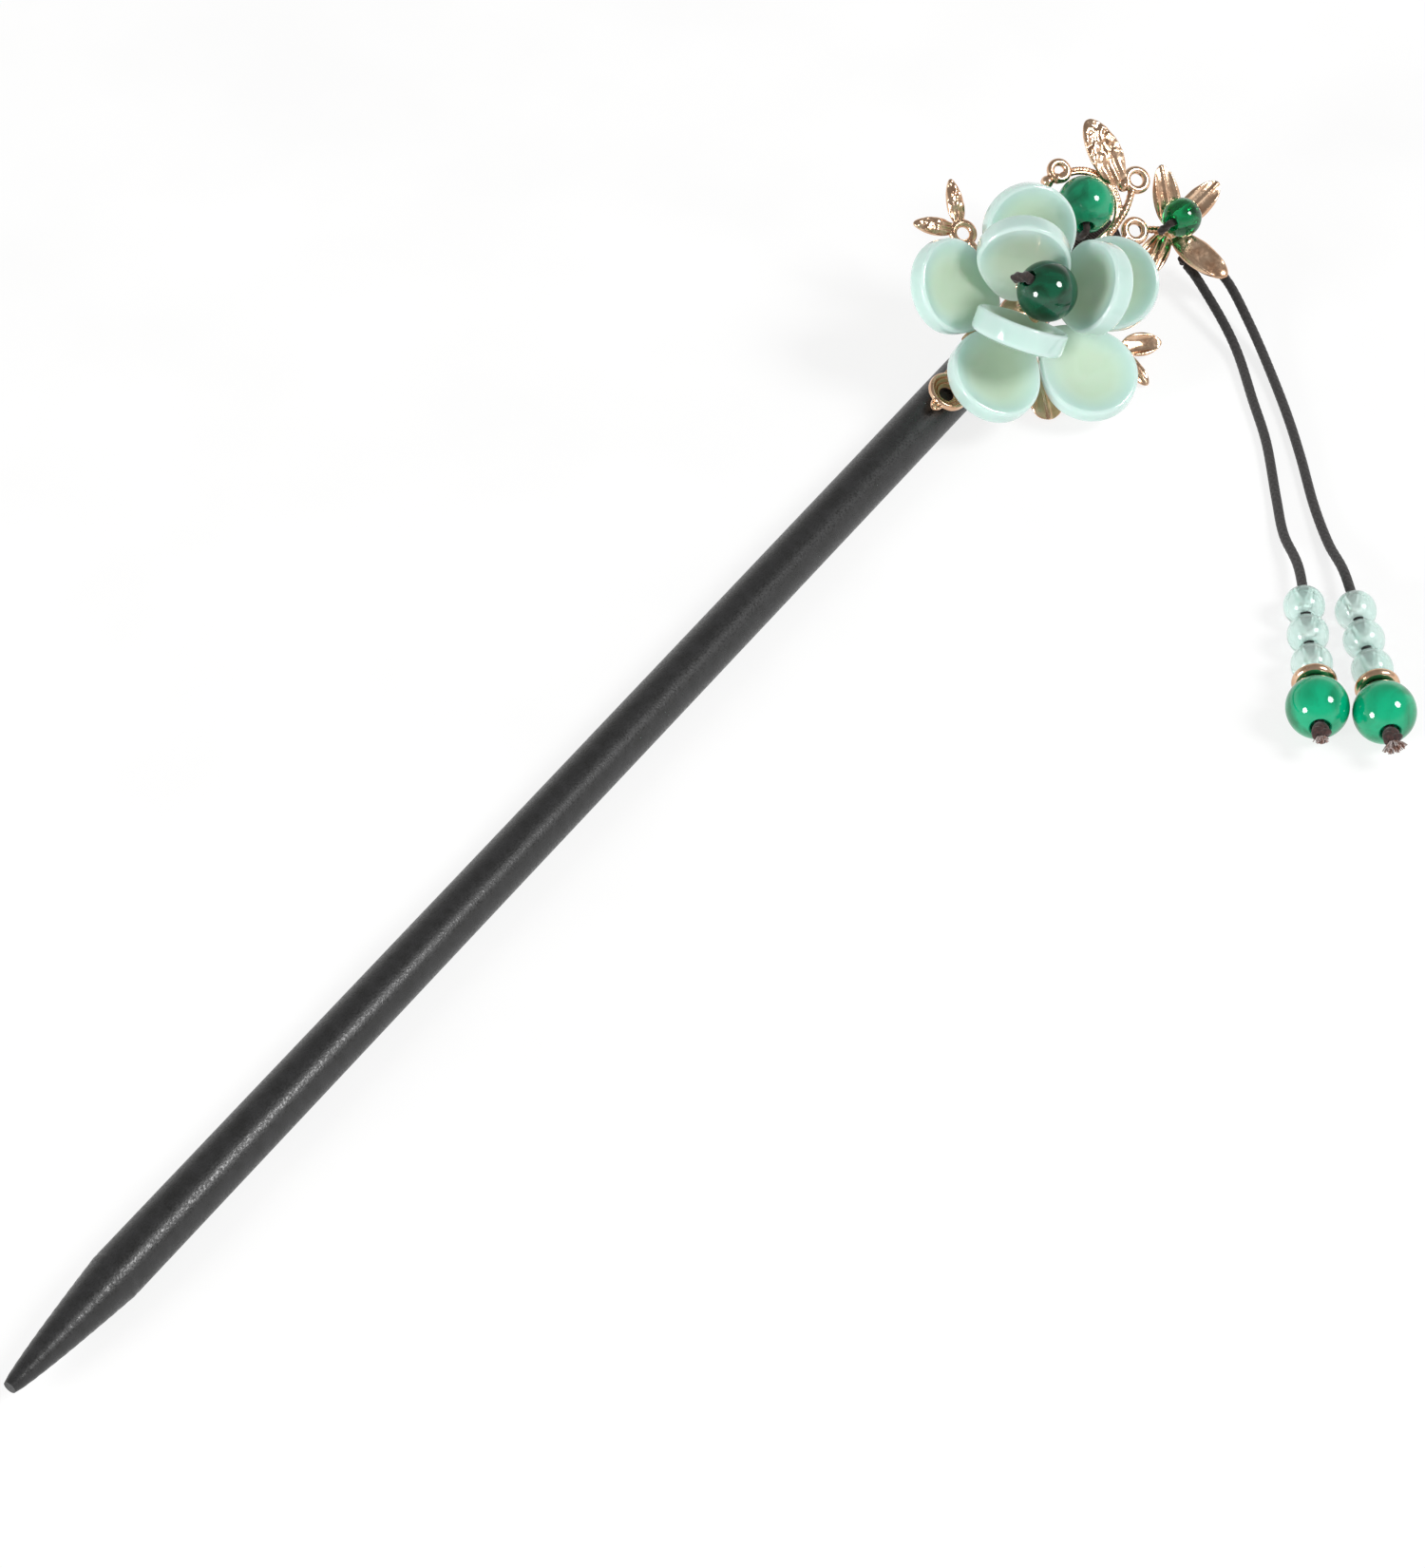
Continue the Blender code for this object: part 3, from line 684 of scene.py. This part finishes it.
def tassel_beads(side, tassel):
    drop, direction = stack_line(tassel)
    node = f"drop_bead_{side}"
    mesh = bead_mesh(BEAD_LARGE, BORE_LARGE)
    piece(f"polished_{node}", mesh, DROP_GREEN, node, [node], aim(drop, direction))
    for number in range(1, LIGHT_BEADS + 1):
        node = f"light_bead_{side}_{number}"
        centre = drop - direction * drop_distance(LIGHT_BEADS + 1 - number)
        mesh = bead_mesh(BEAD_SMALL, BORE_SMALL)
        piece(f"polished_{node}", mesh, LIGHT_GLASS, node, [node], aim(centre, direction))
    centre = drop - direction * (BEAD_LARGE / 2 + GAP + SPACER_THICKNESS / 2 - SPACER_NEST / 2)
    node = f"spacer_{side}"
    piece(f"polished_{node}", spacer_mesh(), GOLD, f"stack_{side}", [node], aim(centre, direction))


def spacer_mesh():
    """A dished disc whose rim is rolled over."""
    radius, half, bore = SPACER_DIAMETER / 2, SPACER_THICKNESS / 2, BORE_LARGE / 2
    roll = [(radius - half * (1 - math.sin(math.radians(a))), half * math.cos(math.radians(a))) for a in range(0, 91, 15)]
    profile = [(bore, half - SPACER_NEST / 2), (0.55 * radius, half - 0.5 * SPACER_NEST), (0.66 * radius, half)] + roll
    profile += [(r, -z) for r, z in reversed(profile[:-1])]
    return lathe(profile, 72, True)


def set_beads():
    """The centre, top and side beads, and the threads that hold them."""
    settings = (
        ("centre", BEAD_LARGE, CENTRE_BEAD, CENTRE_GREEN, "dark_agate", "pin", 28, 0.00055),
        ("top", BEAD_TOP, TOP_BEAD, TOP_GREEN, "green_agate", "top_bead", 62, 0.00038),
        ("side", BEAD_SMALL, SIDE_BEAD, SIDE_GREEN, "green_glass", "side_bead", 55, 0.00042),
    )
    for label, diameter, (place, bore), finish, slot, body, bend, thickness in settings:
        matrix = FLOWER @ aim(mm(*place), bore)
        node = f"{label}_bead"
        mesh = bead_mesh(diameter, BORE_SETTING)
        piece(f"polished_{node}", mesh, finish, body, [node], matrix)
        centre, direction = mm(*place), Vector(bore).normalized()
        down = (Vector((0, 0, -1)) + direction * direction.z).normalized()
        path = [centre - direction * (diameter / 2 - 0.0002), centre, centre + direction * (diameter / 2)]
        for step in range(1, 5):
            a = math.radians(bend * step / 4)
            out = diameter / 2 + 0.0002 + 0.00008 * step
            path.append(centre + (direction * math.cos(a) + down * math.sin(a)) * out)
        thread = twisted(smooth_route(path, 0.00015), thickness)
        piece(f"{label}_thread", thread, THREAD_BROWN, "pin", [f"{label}_bead_thread"], FLOWER)


def twisted(path, radius, strands=3):
    """A twisted thread: lobes that run round the path."""

    def lobes(distance, angle):
        return radius * (0.86 + 0.14 * math.cos(strands * angle + distance * 5000))

    return sweep(path, lobes, 18)


# Stick and lashing


def stick():
    body, head = BODY_DIAMETER / 2, HEAD_DIAMETER / 2
    groove = head - GROOVE_DEPTH
    tip = POINT_DIAMETER / 2
    profile = [(0, 0), (head - 0.0004, 0), (head - 0.00012, -0.00006), (head, -0.00022), (head, 0.00005 - HEAD_RIM)]
    profile += [(head - 0.0001, -HEAD_RIM), (groove, -HEAD_RIM - 0.0001), (groove, -HEAD_RIM - GROOVE_LENGTH)]
    profile += [(head - 0.00005, -HEAD_RIM - GROOVE_LENGTH - 0.0001), (head, -HEAD_RIM - GROOVE_LENGTH - 0.0002)]
    profile += [(head + (body - head) * k / 12, -0.011 - (STICK_LENGTH * 0.6 - 0.011) * k / 12) for k in range(1, 13)]
    shoulder = POINT_LENGTH - STICK_LENGTH
    profile += [(body, shoulder + 0.0006), (body - 0.00003, shoulder + 0.0004), (body, shoulder + 0.0002)]
    for k in range(36, -1, -1):
        share = k / 36
        ring = 0.00002 if k % 3 == 1 else 0.0
        profile.append((tip + (body - tip) * share**POINT_CURVE - ring, POINT_LENGTH * share - STICK_LENGTH))
    profile += [(tip - 0.0001, -STICK_LENGTH), (0, -STICK_LENGTH)]
    mesh = lathe(profile, 96)
    piece("turned_stick", mesh, LACQUER, "pin", ["stick"], Matrix.Translation(AXIS) @ turn("Y", 90))


def lashing():
    """Thread wound over the strap and into the groove."""
    radius = LASHING_RADIUS - LASHING_THREAD / 2
    start, end = -HEAD_RIM - 0.0004, -HEAD_RIM - GROOVE_LENGTH + 0.0004
    turns = int((start - end) / (LASHING_THREAD * 0.93))
    line = [Vector((start + (end - start) * k / 4, 0, LASHING_OFFSET)) for k in range(5)]
    winding = twisted(helix(line, radius, turns, 40), LASHING_THREAD / 2)
    piece("wound_lashing", winding, THREAD_BROWN, "pin", ["head_lashing"], SADDLE)


# Castings


def pebbles(place, size):
    """1 at the middle of each grain and 0 between the grains."""
    nearest = noise.voronoi(place / size)[0][0]
    return max(0.0, 1 - 1.5 * nearest * nearest)


def relief(style, side, t, place):
    """How far a leaf's upper face stands up, in millimetres. side runs from -0.5 to 0.5, and t from root to tip."""
    middle = 1 - (2 * abs(side)) ** 2
    rim = math.exp(-(((abs(side) - 0.37) / 0.07) ** 2))
    rib = math.exp(-((side / 0.05) ** 2))
    if style == "pebbled":
        flutes = 0.13 * math.cos(side * 26) * max(0.0, 1 - t / 0.42)
        grains = 0.2 * pebbles(place, 0.00050) * min(1.0, max(0.0, (t - 0.3) / 0.15))
        return flutes + grains
    if style == "ribbed":
        return 0.16 * rim + 0.15 * rib - 0.12 * middle
    return 0.15 * rim - 0.32 * middle * math.sin(math.pi * min(1.0, t * 1.1))


def leaf(length, width, thickness, point, cup, style):
    """A leaf on +Y from the origin with its relief on the upper face."""
    made = ball(0.5, 72)
    for vertex in made.vertices:
        x, y, z = vertex.co
        t = z + 0.5
        side = x * (1.25 - point * t * t - 0.2 * (1 - t))
        rise = cup * (4 * side * side + 1.5 * (t - 0.4) ** 2)
        spot = Vector((side * width, t * length, 0))
        carved = 0.0
        if y > 0:
            carved = relief(style, x, t, spot) * MM * min(1.0, y * 5)
        vertex.co = (side * width, t * length, y * thickness + rise * width + carved)
    return made


def leaf_shape(base, tip, width, thickness=0.8, point=0.45, cup=0.0, style="ribbed"):
    start, end = mm(*base), mm(*tip)
    mesh = leaf((end - start).length, width * MM, thickness * MM, point, cup, style)
    return mesh, along(start, end)


def torus(radius, wire):
    angles = [-2 * math.pi * k / 16 for k in range(16)]
    return lathe([(radius + wire * math.cos(a), wire * math.sin(a)) for a in angles], 48, True)


def ring_shape(centre, radius=1.05, wire=0.42):
    return torus(radius * MM, wire * MM), Matrix.Translation(mm(*centre))


def ball_shape(centre, radius):
    return ball(radius * MM), Matrix.Translation(mm(*centre))


def stem_shape(points, radius=0.42, grain=0.16):
    """A stem with a grained surface, as if wound with fine wire."""
    path = smooth_route([mm(*p) for p in points], 0.08 * MM)

    def grained(distance, angle):
        return radius * MM * (1 - grain / 2 + grain / 2 * math.cos(distance * 12000) * math.cos(3 * angle))

    return sweep(path, grained, 20), Matrix()


def granules(points, radius, spacing):
    """A row of small balls along the points."""
    path = smooth_route([mm(*p) for p in points], spacing * MM)
    return [(ball(radius * MM, 12), Matrix.Translation(spot)) for spot in path]


def casting(node, shapes, voxel=0.075):
    mesh = weathered(fused(shapes, voxel * MM), 0.0011, 0.00003)
    piece(f"cast_{node}", mesh, GOLD, "pin", [node], FLOWER)


def strap_mesh():
    inner = HEAD_DIAMETER / 2 + GAP
    outer = inner + STRAP_THICKNESS
    start = -EYELET_FROM_HEAD + EYELET_RADIUS - 0.0004
    end = -STRAP_TAIL
    shape = bmesh.new()
    angles = [math.radians(-30 + 60 * k / 20) for k in range(21)]
    outline = [(outer * math.sin(a), outer * math.cos(a)) for a in angles]
    outline += [(inner * math.sin(a), inner * math.cos(a)) for a in reversed(angles)]
    rows = [[shape.verts.new((x, y, z)) for y, z in outline] for x in (start, end)]
    for k in range(len(outline)):
        shape.faces.new((rows[0][k - 1], rows[0][k], rows[1][k], rows[1][k - 1]))
    shape.faces.new(rows[0])
    shape.faces.new(rows[1])
    return finished(shape)


def flower_mount():
    saddle = FLOWER.inverted() @ SADDLE
    level = HEAD_DIAMETER / 2 + GAP
    rim, hole = EYELET_RADIUS, EYELET_HOLE
    dished = [(hole, 0.35 * MM), (hole + 0.35 * MM, 0.38 * MM), (hole + 0.45 * MM, 0.62 * MM)]
    dished += [(rim - 0.62 * MM, 0.70 * MM), (rim - 0.5 * MM, 1.05 * MM), (rim - 0.3 * MM, 1.16 * MM)]
    dished += [(rim - 0.08 * MM, 1.02 * MM), (rim, 0.62 * MM), (rim - 0.35 * MM, 0.02 * MM), (hole, 0.02 * MM)]
    eyelet_place = saddle @ Matrix.Translation((-EYELET_FROM_HEAD, 0, level))
    lip = (mm(-1.5, 0, 0.5), mm(-3.1, 0, 0.9))
    seat = [(0, SEAT_TOP), (SEAT_RADIUS - 0.0002, SEAT_TOP), (SEAT_RADIUS, SEAT_TOP - 0.0002)]
    seat += [(SEAT_RADIUS, SEAT_BOTTOM), (0, SEAT_BOTTOM)]
    boss = [(0, SEAT_TOP - 0.0002), (BOSS_RADIUS, SEAT_TOP - 0.0002), (BOSS_RADIUS, level + 0.0003), (0, level + 0.0003)]
    casting(
        "flower_mount",
        [
            (strap_mesh(), saddle),
            (lathe(dished, 64, True), eyelet_place),
            (leaf((lip[1] - lip[0]).length, 1.3 * MM, 0.6 * MM, 0.7, 0.0, "ribbed"), eyelet_place @ along(*lip)),
            (lathe(boss, 32), Matrix()),
            (lathe(seat, 48), Matrix()),
            leaf_shape((-1.9, -0.8, 4.8), (-6.5, -2.7, 5.0), 1.5, 0.7),
        ],
    )


def left_sprig():
    casting(
        "left_sprig",
        [
            stem_shape([(-0.95, 1.7, 4.0), (-2.6, 4.7, 4.0), (-4.9, 8.0, 3.1)]),
            ring_shape((-5.55, 8.9, 2.9), 1.05, 0.42),
            leaf_shape((-5.9, 9.6, 2.9), (-7.0, 14.3, 3.4), 1.75, 0.9, style="pebbled"),
            leaf_shape((-6.3, 9.3, 2.9), (-10.9, 9.4, 3.4), 1.85, 0.9, style="pebbled"),
        ],
    )


def circle_points(centre, radius, first, last, step, height):
    return [
        (
            centre[0] + radius * math.cos(math.radians(a)),
            centre[1] + radius * math.sin(math.radians(a)),
            height,
        )
        for a in range(first, last, step)
    ]


def top_branch():
    bead = TOP_BEAD[0]
    tail = [(6.2, 7.1, 3.9), (3.0, 4.4, 3.9), (0.95, 1.7, 4.0)]
    casting(
        "top_branch",
        [
            stem_shape([*circle_points(bead, 3.5, 130, -51, -15, 3.9), *tail], 0.25, 0.0),
            *granules([*circle_points(bead, 3.88, 130, -51, -15, 3.9), (6.2, 6.8, 3.9)], 0.24, 0.36),
            stem_shape(tail, 0.42),
            leaf_shape((10.7, 14.9, 3.9), (7.0, 21.2, 4.7), 3.4, 0.9, 0.3, 0.12, "pebbled"),
            ring_shape((12.5, 15.6, 3.9)),
            ball_shape((11.1, 14.9, 3.8), 0.62),
            stem_shape([(12.1, 14.7, 3.9), (11.2, 12.2, 3.9), (9.4, 9.5, 3.9)], 0.4),
            ring_shape((4.3, 15.9, 3.9), 0.9, 0.4),
            ball_shape((3.1, 14.7, 3.7), 0.65),
            ball_shape((4.1, 15.1, 3.8), 0.55),
        ],
    )


def hub_loop_matrix():
    ties = [tie_place(tassel) for tassel in TASSELS.values()]
    place = (ties[0] + ties[1]) / 2 + mm(-0.4, 0.15, 1.7)
    return FLOWER.inverted() @ Matrix.Translation(place) @ turn("X", 90)


def right_cluster():
    hub = (16.9, 11.3, 1.7)
    casting(
        "right_cluster",
        [
            stem_shape([(1.75, 0.8, 4.0), (5.0, 3.6, 3.8), (8.6, 7.0, 3.4), (11.75, 9.9, 2.9)]),
            ring_shape((12.6, 10.6, 2.9)),
            stem_shape([(13.4, 10.8, 2.8), (15.0, 11.1, 2.2), hub]),
            ball_shape(hub, 0.9),
            leaf_shape((16.8, 11.6, 1.8), (15.3, 17.6, 3.4), 2.9, 0.8, 0.45, 0.1, "ribbed"),
            leaf_shape((17.2, 11.7, 1.8), (21.6, 16.3, 3.2), 2.6, 0.8, 0.25, 0.1, "ribbed"),
            leaf_shape((17.0, 10.9, 1.8), (22.4, 6.5, 3.0), 2.9, 1.1, 0.3, 0.0, "hollow"),
            leaf_shape((16.5, 10.8, 1.7), (14.3, 6.2, 2.3), 2.0, 0.8, 0.5, 0.0, "ribbed"),
            leaf_shape((16.3, 11.0, 1.7), (13.0, 7.7, 1.9), 1.5, 0.7, 0.5, 0.0, "ribbed"),
            (torus(0.75 * MM, 0.27 * MM), hub_loop_matrix()),
        ],
    )


def lower_sprigs():
    casting(
        "lower_right_sprig",
        [
            stem_shape([(1.9, -0.35, 4.0), (5.0, -1.2, 4.0), (8.4, -1.8, 3.9), (11.2, -2.0, 3.7)]),
            leaf_shape((10.6, -1.9, 3.7), (14.9, -1.1, 3.8), 2.4, 0.8, 0.5, 0.15, "hollow"),
            leaf_shape((10.3, -2.3, 3.9), (13.1, -5.9, 4.7), 1.6, 0.9, 0.2, 0.0, "ribbed"),
        ],
    )
    casting(
        "bottom_leaf",
        [
            stem_shape([(0.55, -2.4, 4.1), (1.1, -3.8, 4.4), (1.8, -5.4, 4.6)]),
            leaf_shape((1.4, -4.6, 4.5), (2.7, -10.2, 4.95), 2.6, 0.7, -0.5, 0.0, "ribbed"),
        ],
    )


def claw_cap():
    """A thin cup that is cut into points round its edge."""
    centre = mm(*CENTRE_BEAD[0])
    seat, wall, points = BEAD_LARGE / 2 + GAP, 0.0003, 7
    low, high = math.radians(8), math.radians(51)
    arc = [low + (high - low) * k / 16 for k in range(17)]
    inner = [(seat * math.sin(a), -seat * math.cos(a)) for a in arc]
    outer = [((seat + wall) * math.sin(a), -(seat + wall) * math.cos(a)) for a in reversed(arc)]
    mesh = lathe(inner + outer, 112, True)
    for vertex in mesh.vertices:
        out = Vector((vertex.co.x, vertex.co.y, 0))
        angle = math.atan2(out.length, -vertex.co.z)
        cut = (angle - low) / (high - low)
        scallop = 0.5 + 0.5 * math.cos(points * math.atan2(out.y, out.x))
        lowered = low + (high - low) * cut * (0.62 + 0.38 * scallop)
        around = out.normalized()
        reach = vertex.co.length
        vertex.co = around * math.sin(lowered) * reach - Vector((0, 0, math.cos(lowered) * reach))
    piece("pointed_claw_cap", mesh, GOLD, "pin", ["claw_cap"], FLOWER @ Matrix.Translation(centre))


# Flower


def petal_mesh(rim, root_stretch):
    """A dished disc of thick pressed glass with a rounded outer wall and a drawn-out root."""
    radius, dish, hollow, soft = PETAL_RADIUS, 0.0011, 0.93, 0.0005
    profile = [(hollow * radius * k / 12, -dish * (1 - (k / 12) ** 2)) for k in range(13)]
    profile += [(radius * (1 - 0.045), -0.00002), (radius * (1 - 0.03), -0.00007)]
    for k in range(7):
        a = math.radians(15 * k)
        profile.append((radius - 0.024 * radius * (1 - math.sin(a)), -soft * (1 - math.cos(a)) * 0.7 - 0.0001))
    for k in range(9):
        a = math.radians(11.25 * k)
        profile.append((radius - soft * (1 - math.cos(a)), -rim + soft - soft * math.sin(a) * 1.02))
    profile += [(radius * share, -rim - 0.0005 * (1 - share * share)) for share in (0.8, 0.6, 0.35, 0)]
    made = lathe(profile, 96)
    share = made.attributes.new("rim", "FLOAT", "POINT")
    for vertex in made.vertices:
        across = math.hypot(vertex.co.x, vertex.co.y) / radius
        t = max(0.0, -vertex.co.y / radius)
        share.data[vertex.index].value = max(0.0, min(1.0, (across - 0.45) / 0.5)) * (1 - 0.6 * t)
        vertex.co.x *= 1 - PETAL_ROOT_NARROW * t * t
        vertex.co.z *= 1 - PETAL_ROOT_THIN * t
        if t > 0:
            vertex.co.y *= root_stretch
    return made


def petals():
    for number, (angle, beyond, height, tilt) in enumerate(OUTER_PETALS, 1):
        out = Matrix.Translation((0, BEAD_LARGE / 2 + beyond, height))
        place = FLOWER @ turn("Z", angle - 90) @ out @ turn("X", tilt)
        node = f"petal_outer_{number}"
        mesh = petal_mesh(OUTER_RIM, OUTER_ROOT_STRETCH)
        piece(f"pressed_{node}", mesh, PETAL, "pin", [node], place, 28)
    bead = FLOWER @ Matrix.Translation(mm(*CENTRE_BEAD[0]))
    for number, (angle, tilt, clearance, across, up) in enumerate(INNER_PETALS, 1):
        back = -BEAD_LARGE / 2 - clearance
        place = bead @ turn("Z", angle - 90) @ turn("X", tilt) @ Matrix.Translation((across, up, back))
        node = f"petal_inner_{number}"
        mesh = petal_mesh(INNER_RIM, INNER_ROOT_STRETCH)
        piece(f"pressed_{node}", mesh, PETAL, "pin", [node], place, 28)


lamps(camera())
room()
for side_name, one_tassel in TASSELS.items():
    end_piece = tassel_knots(side_name, one_tassel)
    braided_cord(side_name, one_tassel)
    tassel_beads(side_name, one_tassel)
set_beads()
stick()
lashing()
flower_mount()
left_sprig()
top_branch()
right_cluster()
lower_sprigs()
claw_cap()
petals()

bpy.context.scene.view_settings.view_transform = "Standard"
